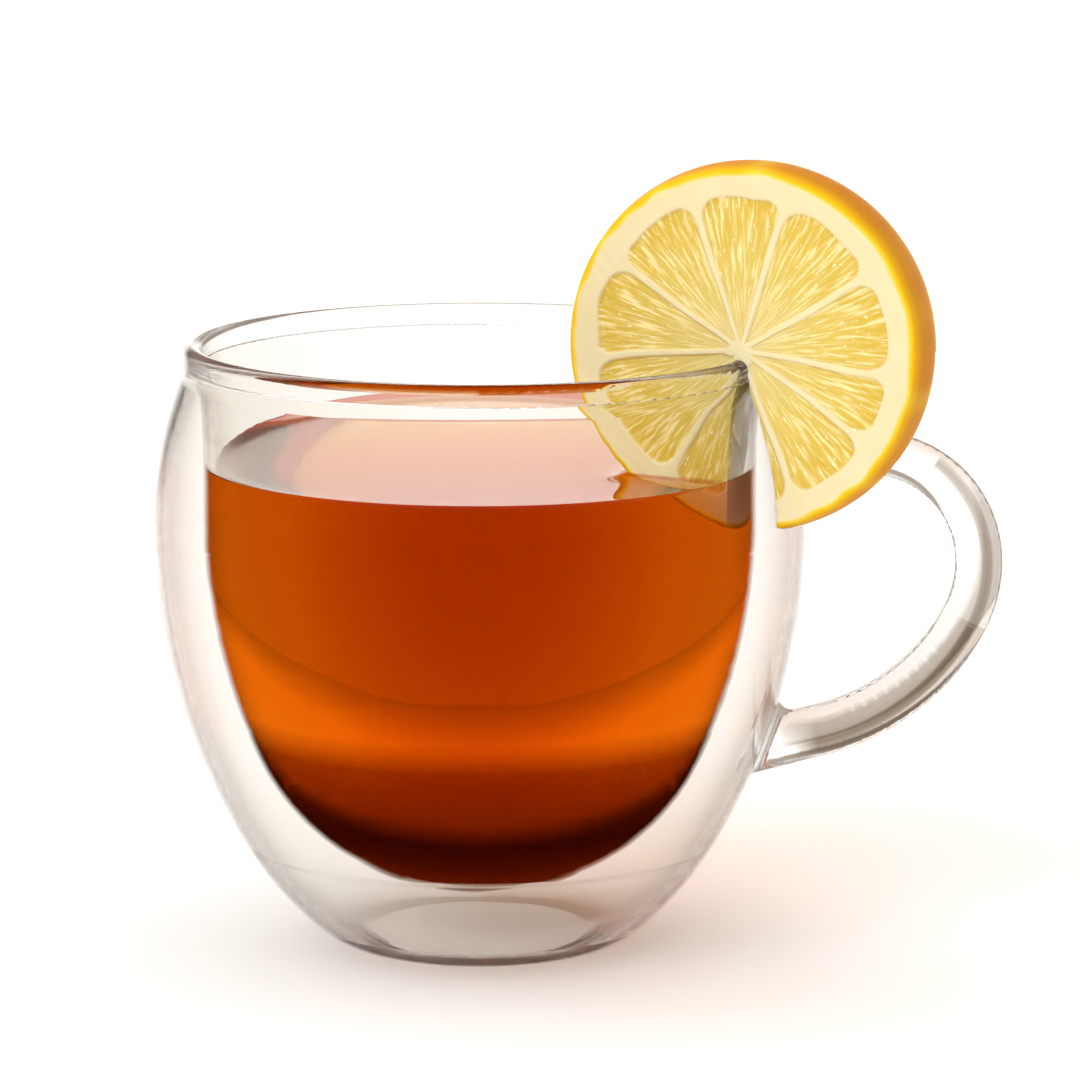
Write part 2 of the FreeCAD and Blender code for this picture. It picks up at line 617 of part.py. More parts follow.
def check(sub_parts):
    """Stops on any failed object, and on a sub-part that isn't one sound solid."""
    for item in doc.Objects:
        if {"Invalid", "Error"} & set(item.State):
            raise RuntimeError(f"{item.Name} failed: {item.State}")
    for item in sub_parts:
        shape = item.Shape
        if shape.isNull() or not shape.isValid() or len(shape.Solids) != 1:
            raise RuntimeError(f"{item.Label} isn't one sound solid")


def export(sub_parts):
    os.makedirs(PARTS, exist_ok=True)
    for item in sub_parts:
        item.Shape.exportStep(os.path.join(PARTS, item.Label + ".step"))
        print(f"{item.Label}: {item.Shape.Volume / 1000:.2f} cm3")


sheet = make_sheet()
SUB_PARTS = [build_glass(), build_tea(), build_slice()]
check(SUB_PARTS)
export(SUB_PARTS)
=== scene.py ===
import math
import random

import bpy
import bmesh
import numpy as np
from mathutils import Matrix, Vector, kdtree


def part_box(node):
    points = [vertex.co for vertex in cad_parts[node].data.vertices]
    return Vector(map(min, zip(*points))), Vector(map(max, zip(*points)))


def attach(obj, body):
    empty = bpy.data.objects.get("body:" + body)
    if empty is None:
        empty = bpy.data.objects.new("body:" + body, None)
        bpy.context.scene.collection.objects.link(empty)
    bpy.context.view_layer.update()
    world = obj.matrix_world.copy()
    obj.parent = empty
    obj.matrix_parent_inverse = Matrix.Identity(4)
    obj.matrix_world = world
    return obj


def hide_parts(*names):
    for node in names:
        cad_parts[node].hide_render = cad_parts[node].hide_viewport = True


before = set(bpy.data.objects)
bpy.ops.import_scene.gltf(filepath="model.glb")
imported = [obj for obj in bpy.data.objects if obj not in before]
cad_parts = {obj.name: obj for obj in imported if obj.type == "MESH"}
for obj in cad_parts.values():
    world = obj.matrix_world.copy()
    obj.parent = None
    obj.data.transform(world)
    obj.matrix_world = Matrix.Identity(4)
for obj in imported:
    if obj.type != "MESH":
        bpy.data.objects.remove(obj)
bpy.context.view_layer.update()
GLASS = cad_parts["glass_cup"]
MM = 0.001

# ---------------------------------------------------------------- sizes, in metres
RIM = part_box("glass_cup")[1].z
TEA_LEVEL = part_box("tea")[1].z
SLICE_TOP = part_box("lemon_slice")[1].z

LIP_RADIUS = 40.8 * MM
LIP_THICKNESS = 2.5 * MM
LIP_BAND = 2.8 * MM              # the upright band below the rim
LIP_BLEND = 6.0 * MM
BELLY_RADIUS = 45.0 * MM
BELLY_LEVEL = RIM - 25.2 * MM
BOWL_RADIUS = 36.8 * MM          # inside
BOWL_LEVEL = BELLY_LEVEL + 1.9 * MM
BOWL_BOTTOM = 9.64 * MM
BOWL_BOTTOM_BEND = 35.0 * MM
BOWL_SIDE_TURN = math.radians(23.4)
BOWL_CURVE_TURN = math.radians(39.8)

# The handle's side and lower bends: radius, centre, the angles they run between, and the strength of the dark
# streak painted along them as shade
HANDLE_BENDS = [(17.5 * MM, (51.6 * MM, 53.8 * MM), (-0.489, 0.9), 0.75),
                (31.0 * MM, (39.68 * MM, 60.13 * MM), (-1.55, -0.489), 1.0)]
HANDLE_STREAK = 1.0 * MM         # half the painted dark streak's width, and how far it lies outside the rod's centre line
ROD_DEPTH = 3.5 * MM

SLICE_RADIUS = 25.4 * MM
SLICE_HALF = 5.0 * MM
SLICE_BULGE = 0.8 * MM
SLICE_CROWN = (SLICE_BULGE ** 2 + SLICE_HALF ** 2) / (2 * SLICE_BULGE)    # the peel's radius across its width
SLICE_AZIMUTH = math.radians(-20)
SLICE_CENTRE = Vector((LIP_RADIUS - LIP_THICKNESS / 2, 0, SLICE_TOP - SLICE_RADIUS))
FLESH_RADIUS = 20.7 * MM
MEMBRANES = [-175, -120, -98, -69, -33, -7, 31, 73, 109.5, 147]    # degrees
BACK_SEED = 47                   # the far face's juice sacs
FRONT_SEED = 7

# ---------------------------------------------------------------- light and clear materials
VIEW_DOWN = 9.79                 # degrees
CAMERA_PLACE = (0.0083, -0.9828, 0.2264)
FLOOR_HALF, FLOOR_LEVEL = 12.0, -0.05 * MM
SIDES_COLOUR = (0.42, 0.33, 0.26, 1)
BACKDROP_COLOUR = (1.0, 0.997, 0.99, 1)
BACKDROP_LEVEL = 1.85

WHITE = (1, 1, 1, 1)
GLASS_IOR = 1.48
GLASS_MIRRORS_FROM = 0.8         # of Layer Weight's Facing
GLASS_LAMPS = (0.985, 0.98, 0.975, 1)
GLASS_HUE, GLASS_DENSITY = (0.5, 0.45, 0.38, 1), 10.0
# Painted shade: the colour of the dark streak painted along the handle
PAINTED_STREAK_SHADE = (0.40, 0.34, 0.285, 1)
TEA_IOR = 1.333
TEA_MIRRORS_FROM = 0.5
TEA_LAMPS = (0.72, 0.78, 0.85, 1)
TEA_HUE, TEA_DENSITY = (0.939, 0.74, 0.0, 1), 105.0
TEA_SKIN = (0.81, 0.42, 0.4, 1)
LEAK = 0.14                      # how much light that would stay trapped in a wall gets out
LEAK_TINT = (0.86, 0.85, 0.83, 1)


def srgb(*values):
    """An 8-bit screen colour as Blender's linear RGBA."""
    linear = [v / 255 / 12.92 if v <= 10 else ((v / 255 + 0.055) / 1.055) ** 2.4 for v in values]
    return (*linear, 1.0)


# ---------------------------------------------------------------- camera, floor and light
def make_camera():
    """Looks down at the cup by about ten degrees, from far enough to flatten it a little."""
    data = bpy.data.cameras.new("camera")
    data.lens = 240
    data.sensor_width = 36
    data.clip_start, data.clip_end = 0.05, 60
    camera = bpy.data.objects.new("camera", data)
    camera.location = CAMERA_PLACE
    camera.rotation_euler = (math.radians(90 - VIEW_DOWN), 0, 0)
    bpy.context.scene.collection.objects.link(camera)
    bpy.context.scene.camera = camera


def make_floor():
    """A plain pale floor, a hair below the base so that the two faces don't fight."""
    mesh = bpy.data.meshes.new("floor")
    half, level = FLOOR_HALF, FLOOR_LEVEL
    corners = [(-half, -half, level), (half, -half, level), (half, half, level), (-half, half, level)]
    mesh.from_pydata(corners, [], [(0, 1, 2, 3)])
    floor = bpy.data.objects.new("floor", mesh)
    bpy.context.scene.collection.objects.link(floor)
    material, tree, out = new_material("floor_white")
    diffuse = node(tree, "ShaderNodeBsdfDiffuse", Color=srgb(252, 251, 250))
    tree.links.new(diffuse.outputs[0], out.inputs["Surface"])
    mesh.materials.append(material)


def make_world():
    """A white backdrop behind, a bright ceiling, and dark sides and front that draw the glass's edges."""
    world = bpy.data.worlds.new("studio")
    bpy.context.scene.world = world
    world.use_nodes = True
    tree = world.node_tree
    tree.nodes.clear()
    out = tree.nodes.new("ShaderNodeOutputWorld")
    background = tree.nodes.new("ShaderNodeBackground")
    tree.links.new(background.outputs[0], out.inputs["Surface"])
    x, y, z = separate(tree, tree.nodes.new("ShaderNodeTexCoord").outputs["Generated"])
    behind = math_node(tree, "DIVIDE", y, math_node(tree, "MAXIMUM", length_of(tree, x, y), 0.001))
    backdrop = ramp(tree, behind, [(0.0, 0.0), (0.3, 0.0), (0.55, 1.0), (1.0, 1.0)])
    ceiling = ramp(tree, z, [(0.0, 0.0), (0.45, 0.0), (0.7, 1.0), (1.0, 1.0)])
    low = ramp(tree, z, [(0.0, 1.0), (0.05, BACKDROP_LEVEL), (0.24, BACKDROP_LEVEL), (0.34, 0.1), (0.5, 0.1)])
    lit = math_node(tree, "MAXIMUM", math_node(tree, "MULTIPLY", backdrop, low), ceiling)
    colour = mix_colour(tree, ramp(tree, lit, [(0.0, 0.0), (1.0, 1.0)]), SIDES_COLOUR, BACKDROP_COLOUR)
    strength = math_node(tree, "MAXIMUM", lit, 1.0)
    tree.links.new(colour, background.inputs["Color"])
    tree.links.new(strength, background.inputs["Strength"])


def make_lights():
    """A weak key from behind the left and a strong soft light from the front left."""
    sun("key", (-0.55, 0.45, 0.9), 45, 0.45, (1.0, 0.99, 0.975))
    sun("front", (-0.5, -0.8, 0.55), 50, 1.85, (1.0, 0.995, 0.985))


def sun(name, source, spread, power, colour):
    """A broad soft light from one direction, which itself shows in no reflection."""
    data = bpy.data.lights.new(name, "SUN")
    data.energy, data.angle, data.color = power, math.radians(spread), colour
    light = bpy.data.objects.new(name, data)
    light.rotation_euler = (-Vector(source)).to_track_quat("-Z", "Y").to_euler()
    light.visible_glossy = False
    bpy.context.scene.collection.objects.link(light)


def set_light_paths():
    """Enough bounces to pass through both walls, the tea and both walls again."""
    cycles = bpy.context.scene.cycles
    cycles.max_bounces = 24
    cycles.transmission_bounces = 24
    cycles.glossy_bounces = 12
    cycles.diffuse_bounces = 4
    cycles.transparent_max_bounces = 16
    cycles.sample_clamp_indirect = 6.0
    bpy.context.scene.view_settings.view_transform = "Standard"


# ---------------------------------------------------------------- node helpers
def new_material(name):
    material = bpy.data.materials.new(name)
    material.use_nodes = True
    tree = material.node_tree
    tree.nodes.clear()
    return material, tree, tree.nodes.new("ShaderNodeOutputMaterial")


def feed(tree, socket, value):
    """Links a socket to another node's output, or sets its value."""
    if isinstance(value, bpy.types.NodeSocket):
        tree.links.new(value, socket)
    else:
        socket.default_value = value


def node(tree, kind, **inputs):
    made = tree.nodes.new(kind)
    for name, value in inputs.items():
        feed(tree, made.inputs[name.replace("_", " ")], value)
    return made


def math_node(tree, operation, *values):
    made = tree.nodes.new("ShaderNodeMath")
    made.operation = operation
    for socket, value in zip(made.inputs, values):
        feed(tree, socket, value)
    return made.outputs[0]


def length_of(tree, a, b):
    return math_node(tree, "SQRT", math_node(tree, "ADD", math_node(tree, "MULTIPLY", a, a),
                                             math_node(tree, "MULTIPLY", b, b)))


def share_of(tree, value, whole):
    """How large a value is, whatever its sign, as a share of a whole."""
    return math_node(tree, "DIVIDE", math_node(tree, "ABSOLUTE", value), whole)


def separate(tree, vector):
    split = tree.nodes.new("ShaderNodeSeparateXYZ")
    tree.links.new(vector, split.inputs[0])
    return split.outputs


def ramp(tree, factor, stops):
    """A ramp of grey values or colours."""
    made = tree.nodes.new("ShaderNodeValToRGB")
    tree.links.new(factor, made.inputs[0])
    elements = made.color_ramp.elements
    while len(elements) < len(stops):
        elements.new(1.0)
    for element, (place, value) in zip(elements, stops):
        element.position = place
        element.color = value if isinstance(value, tuple) else (value, value, value, 1)
    return made.outputs[0]


def mix_value(tree, factor, a, b):
    """a where factor is 0, b where it is 1."""
    made = tree.nodes.new("ShaderNodeMix")
    made.data_type = "FLOAT"
    for index, value in ((0, factor), (2, a), (3, b)):
        feed(tree, made.inputs[index], value)
    return made.outputs[0]


def mix_colour(tree, factor, a, b, blend="MIX"):
    made = tree.nodes.new("ShaderNodeMix")
    made.data_type, made.blend_type = "RGBA", blend
    for index, value in ((0, factor), (6, a), (7, b)):
        feed(tree, made.inputs[index], value)
    return made.outputs[2]


def mix_shader(tree, factor, a, b):
    made = tree.nodes.new("ShaderNodeMixShader")
    for socket, value in zip(made.inputs, (factor, a, b)):
        feed(tree, socket, value)
    return made.outputs[0]


def absorb(tree, out, hue, density):
    volume = tree.nodes.new("ShaderNodeVolumeAbsorption")
    volume.inputs["Color"].default_value = hue
    volume.inputs["Density"].default_value = density
    tree.links.new(volume.outputs[0], out.inputs["Volume"])


# ---------------------------------------------------------------- materials
def glass_material():
    """Clear blown glass, faintly wavy and faintly smoky, with painted shade that darkens it where it is seen
    edge on and a dark streak of painted shade along the handle.
    """
    material, tree, out = new_material("blown_glass")
    place = tree.nodes.new("ShaderNodeTexCoord")
    stretch = node(tree, "ShaderNodeMapping", Vector=place.outputs["Object"], Scale=(1, 1, 0.25))
    waves = node(tree, "ShaderNodeTexNoise", Vector=stretch.outputs[0], Scale=70.0, Detail=1.0)
    bump = node(tree, "ShaderNodeBump", Strength=0.05, Distance=0.0006, Height=waves.outputs[0])
    # Painted shade: the colour darkens where the glass is seen edge on, drawing dark lines at its edges
    tint = ramp(tree, tree.nodes.new("ShaderNodeLayerWeight").outputs["Facing"],
                [(0.0, (0.985, 0.982, 0.976, 1)), (0.6, (0.95, 0.943, 0.93, 1)),
                 (0.86, (0.78, 0.76, 0.725, 1)), (0.97, (0.5, 0.46, 0.41, 1))])
    # Painted shade: a dark streak along the handle, drawn into the glass's colour
    tint = mix_colour(tree, painted_handle_streak(tree, place), tint, PAINTED_STREAK_SHADE)
    finish_clear(tree, out, tint, bump.outputs[0], GLASS_IOR, GLASS_MIRRORS_FROM, GLASS_LAMPS)
    absorb(tree, out, GLASS_HUE, GLASS_DENSITY)
    return material


def painted_handle_streak(tree, place):
    """A narrow dark streak of painted shade along the handle, a little outside its centre line."""
    x, y, z = separate(tree, place.outputs["Object"])
    streaks = []
    for bend, (across, up), (low, high), strength in HANDLE_BENDS:
        dx, dz = math_node(tree, "SUBTRACT", x, across), math_node(tree, "SUBTRACT", z, up)
        off = math_node(tree, "SUBTRACT", length_of(tree, dx, dz), bend + HANDLE_STREAK)
        dark = ramp(tree, share_of(tree, off, HANDLE_STREAK),
                    [(0.0, strength), (0.6, 0.8 * strength), (0.95, 0.0)])
        turn = math_node(tree, "ARCTAN2", dz, dx)
        here = math_node(tree, "MULTIPLY", math_node(tree, "GREATER_THAN", turn, low),
                         math_node(tree, "LESS_THAN", turn, high))
        streaks.append(math_node(tree, "MULTIPLY", here, dark))
    beyond_cup = ramp(tree, math_node(tree, "DIVIDE", x, 2 * BELLY_RADIUS), [(0.46, 0.0), (0.52, 1.0)])
    sides = ramp(tree, share_of(tree, y, ROD_DEPTH), [(0.4, 0.0), (0.75, 1.0)])
    streak = math_node(tree, "MULTIPLY", math_node(tree, "MAXIMUM", *streaks), beyond_cup)
    return math_node(tree, "MULTIPLY", streak, sides)


def finish_clear(tree, out, tint, normal, ior, mirror_from, lamp_tint):
    """A clear surface that mirrors only where it is seen edge on, or from inside beyond its limit.

    Lamps shine straight through it, and a little of what would stay trapped inside a wall leaks out.
    """
    clear = node(tree, "ShaderNodeBsdfPrincipled", Base_Color=tint, Normal=normal)
    clear.inputs["Transmission Weight"].default_value = 1.0
    bend = node(tree, "ShaderNodeBsdfRefraction", Color=tint, Normal=normal)
    for shader in (clear, bend):
        shader.inputs["Roughness"].default_value = 0.0
        shader.inputs["IOR"].default_value = ior
    facing = tree.nodes.new("ShaderNodeLayerWeight").outputs["Facing"]
    from_inside = tree.nodes.new("ShaderNodeNewGeometry").outputs["Backfacing"]
    limit = 1 - math.sqrt(1 - 1 / ior ** 2)
    outside = ramp(tree, facing, [(0.0, 0.0), (mirror_from, 0.0), (mirror_from + 0.08, 1.0)])
    inside = ramp(tree, facing, [(0.0, 0.0), (limit - 0.06, 0.0), (limit - 0.01, 1.0)])
    mirrored = mix_value(tree, from_inside, outside, inside)
    surface = mix_shader(tree, mirrored, bend.outputs[0], clear.outputs[0])
    trapped = math_node(tree, "MULTIPLY", from_inside, inside)
    leak = node(tree, "ShaderNodeBsdfTransparent", Color=LEAK_TINT)
    surface = mix_shader(tree, math_node(tree, "MULTIPLY", trapped, LEAK), surface, leak.outputs[0])
    lamps = node(tree, "ShaderNodeBsdfTransparent", Color=lamp_tint)
    for_lamps = tree.nodes.new("ShaderNodeLightPath").outputs["Is Shadow Ray"]
    tree.links.new(mix_shader(tree, for_lamps, surface, lamps.outputs[0]), out.inputs["Surface"])


def tea_material():
    """Clear black tea: it takes out blue at once, green within centimetres and some red.

    The skin tints what enters, most in a band of painted shade above the bottom and where it is seen straight
    on.
    """
    material, tree, out = new_material("black_tea")
    place = tree.nodes.new("ShaderNodeTexCoord")
    ripples = node(tree, "ShaderNodeTexNoise", Vector=place.outputs["Object"], Scale=45.0, Detail=1.0)
    bump = node(tree, "ShaderNodeBump", Strength=0.03, Distance=0.0005, Height=ripples.outputs[0])
    height = math_node(tree, "DIVIDE", separate(tree, place.outputs["Object"])[2], TEA_LEVEL)
    # Painted shade: a dark band above the bottom of the tea; above it the skin's tint, at the very bottom none
    skin_and_painted_low_shade = ramp(tree, height, [(0.0, WHITE), (0.05, WHITE), (0.1, (0.45, 0.15, 0.1, 1)),
                                (0.13, (0.26, 0.055, 0.03, 1)), (0.2, (0.25, 0.05, 0.03, 1)),
                                (0.29, (0.11, 0.02, 0.015, 1)), (0.34, (0.16, 0.033, 0.02, 1)),
                                (0.42, (0.25, 0.06, 0.04, 1)), (0.455, (0.31, 0.09, 0.06, 1)),
                                (0.52, TEA_SKIN), (1.0, TEA_SKIN)])
    straight = ramp(tree, tree.nodes.new("ShaderNodeLayerWeight").outputs["Facing"],
                    [(0.0, (0.68, 0.44, 1, 1)), (0.06, (0.85, 0.68, 1, 1)), (0.13, WHITE)])
    tint = mix_colour(tree, 1.0, skin_and_painted_low_shade, straight, "MULTIPLY")
    tint = mix_colour(tree, tree.nodes.new("ShaderNodeNewGeometry").outputs["Backfacing"], tint, WHITE)
    finish_clear(tree, out, tint, bump.outputs[0], TEA_IOR, TEA_MIRRORS_FROM, TEA_LAMPS)
    absorb(tree, out, TEA_HUE, TEA_DENSITY)
    return material


def lemon_material():
    """Flesh, membranes, pith and peel, told apart by masks that the mesh carries."""
    material, tree, out = new_material("lemon")
    masks = tree.nodes.new("ShaderNodeAttribute")
    masks.attribute_name = "masks"
    split = tree.nodes.new("ShaderNodeSeparateColor")
    tree.links.new(masks.outputs["Color"], split.inputs[0])
    flesh, streak, outward = split.outputs[0], split.outputs[1], split.outputs[2]
    peel = masks.outputs["Alpha"]
    place = tree.nodes.new("ShaderNodeTexCoord")
    cloud = node(tree, "ShaderNodeTexNoise", Vector=place.outputs["Object"], Scale=260.0, Detail=3.0)
    fine = node(tree, "ShaderNodeTexNoise", Vector=place.outputs["Object"], Scale=1400.0, Detail=2.0)

    pulp = ramp(tree, outward, [(0.0, srgb(220, 202, 136)), (0.55, srgb(216, 191, 96)),
                                (1.0, srgb(213, 181, 70))])
    veined = mix_colour(tree, math_node(tree, "MULTIPLY", streak, 0.2), pulp, srgb(252, 239, 178))
    rays = ray_noise(tree, place, 40.0, 260.0)
    rayed = mix_colour(tree, ramp(tree, rays, [(0.5, 0.0), (0.66, 0.6)]), veined, srgb(252, 241, 190))
    # Painted highlights: small near-white glints over the outer flesh
    painted_glints = ramp(tree, ray_noise(tree, place, 62.0, 900.0), [(0.7, 0.0), (0.74, 1.0)])
    painted_glints = math_node(tree, "MULTIPLY", painted_glints, ramp(tree, outward, [(0.25, 0.0), (0.5, 0.8)]))
    pulp = mix_colour(tree, painted_glints, rayed, srgb(255, 252, 232))
    pith = mix_colour(tree, cloud.outputs[0], srgb(231, 221, 184), srgb(226, 211, 162))
    face = mix_colour(tree, flesh, pith, pulp)
    zest_and_painted_shade = ramp(tree, peel, [(0.0, srgb(233, 218, 172)), (0.35, srgb(236, 207, 84)),
                             (0.7, srgb(233, 188, 24)), (1.0, srgb(228, 172, 12))])
    _, through, _ = slice_axes(tree, place)
    # Painted shade: the middle of the peel's rim, across the slice's thickness, is turned orange-brown
    side = ramp(tree, share_of(tree, through, SLICE_HALF), [(0.0, 1.0), (0.55, 0.8), (0.93, 0.0)])
    zest_and_painted_shade = mix_colour(tree, math_node(tree, "MULTIPLY", side, peel), zest_and_painted_shade, srgb(203, 124, 2))
    colour = mix_colour(tree, ramp(tree, peel, [(0.02, 0.0), (0.3, 1.0)]), face, zest_and_painted_shade)

    pores = node(tree, "ShaderNodeTexVoronoi", Vector=place.outputs["Object"], Scale=900.0)
    pored = math_node(tree, "MULTIPLY", ramp(tree, pores.outputs["Distance"], [(0.0, 0.0), (0.5, 1.0)]), peel)
    grained = math_node(tree, "ADD", math_node(tree, "MULTIPLY", fine.outputs[0], 0.35), pored)
    bump = node(tree, "ShaderNodeBump", Strength=0.35, Distance=0.00025, Height=grained)
    rough = mix_value(tree, flesh, 0.55, 0.16)
    shader = node(tree, "ShaderNodeBsdfPrincipled", Base_Color=colour, Roughness=rough, Normal=bump.outputs[0])
    shader.inputs["IOR"].default_value = 1.4
    shader.inputs["Specular IOR Level"].default_value = 0.15
    shader.inputs["Subsurface Weight"].default_value = 0.35
    shader.inputs["Subsurface Radius"].default_value = (1.0, 0.7, 0.25)
    shader.inputs["Subsurface Scale"].default_value = 0.003
    tree.links.new(shader.outputs[0], out.inputs["Surface"])
    return material


def slice_axes(tree, place):
    """The shaded point in the slice's own axes: out from the cup, through the slice, and up."""
    local = tree.nodes.new("ShaderNodeMapping")
    local.vector_type = "TEXTURE"
    local.inputs["Location"].default_value = from_slice(np.zeros(3)).tolist()
    local.inputs["Rotation"].default_value = (0, 0, SLICE_AZIMUTH)
    tree.links.new(place.outputs["Object"], local.inputs["Vector"])
    return separate(tree, local.outputs[0])


def ray_noise(tree, place, across, along):
    """Noise drawn out along rays from the middle of the slice."""
    x, _, z = slice_axes(tree, place)
    radius = math_node(tree, "MAXIMUM", length_of(tree, x, z), 0.2 * MM)
    join = node(tree, "ShaderNodeCombineXYZ",
                X=math_node(tree, "MULTIPLY", math_node(tree, "DIVIDE", x, radius), across),
                Y=math_node(tree, "MULTIPLY", math_node(tree, "DIVIDE", z, radius), across),
                Z=math_node(tree, "MULTIPLY", radius, along))
    return node(tree, "ShaderNodeTexNoise", Vector=join.outputs[0], Scale=1.0, Detail=1.0).outputs[0]


# ---------------------------------------------------------------- meshes
def link_mesh(name, vertices, faces, material):
    mesh = bpy.data.meshes.new(name)
    mesh.from_pydata([tuple(v) for v in vertices], [], faces)
    mesh.polygons.foreach_set("use_smooth", [True] * len(mesh.polygons))
    mesh.materials.append(material)
    piece = bpy.data.objects.new(name, mesh)
    bpy.context.scene.collection.objects.link(piece)
    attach(piece, "root")
    return piece


def ring_faces(count, around):
    """Quads between rings of points, closed by a fan to a point at each end."""
    faces = []
    for i in range(count - 1):
        here, above = 1 + i * around, 1 + (i + 1) * around
        for j in range(around):
            k = (j + 1) % around
            faces.append((here + j, here + k, above + k, above + j))
    last = 1 + count * around
    for j in range(around):
        k = (j + 1) % around
        faces.append((0, 1 + k, 1 + j))
        faces.append((last, 1 + (count - 1) * around + j, 1 + (count - 1) * around + k))
    return faces


def arc_points(start, heading, radius, turn, count):
    """Points after start along a bend to the left, and the end with its heading."""
    centre = (start[0] - radius * math.sin(heading), start[1] + radius * math.cos(heading))
    points = []
    for i in range(1, count + 1):
        angle = heading + turn * i / count
        points.append((centre[0] + radius * math.sin(angle), centre[1] - radius * math.cos(angle)))
    return points, heading + turn


def bowl_side(level):
    """The bowl's inside from its bottom up to a level, as radius and height."""
    first, second = BOWL_SIDE_TURN, BOWL_SIDE_TURN + BOWL_CURVE_TURN
    sink = BOWL_LEVEL - BOWL_BOTTOM - BOWL_BOTTOM_BEND * (1 - math.sin(second))
    shift = BOWL_RADIUS - BOWL_BOTTOM_BEND * math.cos(second)
    a, b = math.sin(first), math.sin(second) - math.sin(first)
    c, d = 1 - math.cos(first), math.cos(first) - math.cos(second)
    side = (sink * d - b * shift) / (a * d - b * c)
    curve = (a * shift - c * sink) / (a * d - b * c)
    points, heading = [(0.0, BOWL_BOTTOM)], 0.0
    for radius, turn, count in ((BOWL_BOTTOM_BEND, math.pi / 2 - second, 18), (curve, BOWL_CURVE_TURN, 26),
                                (side, BOWL_SIDE_TURN, 24)):
        more, heading = arc_points(points[-1], heading, radius, turn, count)
        points += more
    step = 0.7 * MM
    while points[-1][1] + step < level:
        height = points[-1][1] + step
        points.append((inside_radius(height), height))
    points.append((inside_radius(level), level))
    return points


def inside_radius(height):
    """The bowl's inside above its upright line, where it flares to the lip."""
    rounding = LIP_THICKNESS / 2
    across, up = LIP_RADIUS - rounding - BOWL_RADIUS, RIM - rounding - BOWL_LEVEL
    flare = (across ** 2 + up ** 2 - rounding ** 2) / (2 * (across - rounding))
    return BOWL_RADIUS + flare - math.sqrt(flare ** 2 - max(height - BOWL_LEVEL, 0) ** 2)


def outside_radius(height):
    """The cup's outside from a little below its widest line up to the lip."""
    across, up = BELLY_RADIUS - LIP_RADIUS - LIP_BLEND, RIM - LIP_BAND - BELLY_LEVEL
    shoulder = (across ** 2 + up ** 2 - LIP_BLEND ** 2) / (2 * (across + LIP_BLEND))
    lean = math.atan2(up, shoulder - across)
    if height < BELLY_LEVEL + shoulder * math.sin(lean):
        return BELLY_RADIUS - shoulder + math.sqrt(shoulder ** 2 - (height - BELLY_LEVEL) ** 2)
    left = max(RIM - LIP_BAND - height, 0)
    return LIP_RADIUS + LIP_BLEND - math.sqrt(LIP_BLEND ** 2 - left ** 2)


def in_slice(points):
    """Points in the slice's own axes: out from the cup, through the slice, and up, from its centre."""
    c, s = math.cos(SLICE_AZIMUTH), math.sin(SLICE_AZIMUTH)
    x = points[..., 0] * c + points[..., 1] * s - SLICE_CENTRE.x
    y = -points[..., 0] * s + points[..., 1] * c
    return np.stack([x, y, points[..., 2] - SLICE_CENTRE.z], -1)


def from_slice(points):
    """Points in the slice's own axes, back in the scene's."""
    c, s = math.cos(SLICE_AZIMUTH), math.sin(SLICE_AZIMUTH)
    x, y = points[..., 0] + SLICE_CENTRE.x, points[..., 1]
    return np.stack([x * c - y * s, x * s + y * c, points[..., 2] + SLICE_CENTRE.z], -1)


def make_tea():
    """The tea, reaching just into the wall, with its surface drawn up at the glass and the slice."""
    into_wall, around = 0.3 * MM, 360
    climb, fade = 0.9 * MM, 1.3 * MM
    side = bowl_side(TEA_LEVEL + climb)
    outline = []
    for i, (radius, height) in enumerate(side):
        before, after = side[max(i - 1, 0)], side[min(i + 1, len(side) - 1)]
        run = math.hypot(after[0] - before[0], after[1] - before[1])
        outline.append((radius + into_wall * (after[1] - before[1]) / run,
                        height - into_wall * (after[0] - before[0]) / run))
    edge = side[-1][0]
    fine, coarse = 34 * MM, np.linspace(33.5 * MM, 0.5 * MM, 74)
    inward = [edge - 0.04 * MM * 1.16 ** k for k in range(32)]
    inward = [r for r in inward if r > fine] + list(coarse)
    turn = np.linspace(0, 2 * math.pi, around, endpoint=False)
    circle = np.stack([np.cos(turn), np.sin(turn)], -1)
    rings = [np.concatenate([circle * r, np.full((around, 1), z)], 1) for r, z in outline[1:]]
    top = np.array([np.concatenate([circle * r, np.full((around, 1), TEA_LEVEL)], 1) for r in inward])
    wall_gap = (edge - np.array(inward))[:, None]
    local = in_slice(top)
    beside = np.maximum(np.abs(local[..., 1]) - SLICE_HALF, 0)
    reach = math.sqrt(SLICE_RADIUS ** 2 - (SLICE_CENTRE.z - TEA_LEVEL) ** 2)
    beyond = np.maximum(-local[..., 0] - reach, 0)
    slice_gap = np.hypot(beside, beyond)
    top[..., 2] += climb * np.maximum(np.exp(-wall_gap / fade), 0.8 * np.exp(-slice_gap / fade))
    rings = np.array(rings + list(top))
    vertices = np.concatenate([[(0, 0, outline[0][1])], rings.reshape(-1, 3), [(0, 0, TEA_LEVEL)]])
    faces = ring_faces(len(rings), around)
    tea = link_mesh("tea_liquid", vertices, faces, tea_material())
    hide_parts("tea")


# ---------------------------------------------------------------- the lemon slice
def segment_of(angle):
    """Which segment each angle lies in, with the angles of its two membranes."""
    bounds = np.radians(MEMBRANES + [MEMBRANES[0] + 360])
    turned = np.mod(angle - bounds[0], 2 * math.pi) + bounds[0]
    index = np.clip(np.searchsorted(bounds, turned, side="right") - 1, 0, len(MEMBRANES) - 1)
    return index, turned, bounds[index], bounds[index + 1]


def wave(a, b, seed):
    """Smooth cheap noise from a few sines, about -1 to 1."""
    rng = random.Random(seed)
    total = 0
    for _ in range(4):
        total = total + np.sin(a * rng.uniform(0.6, 1.9) + b * rng.uniform(0.6, 1.9) + rng.uniform(0, 6.3))
    return total / 2.6


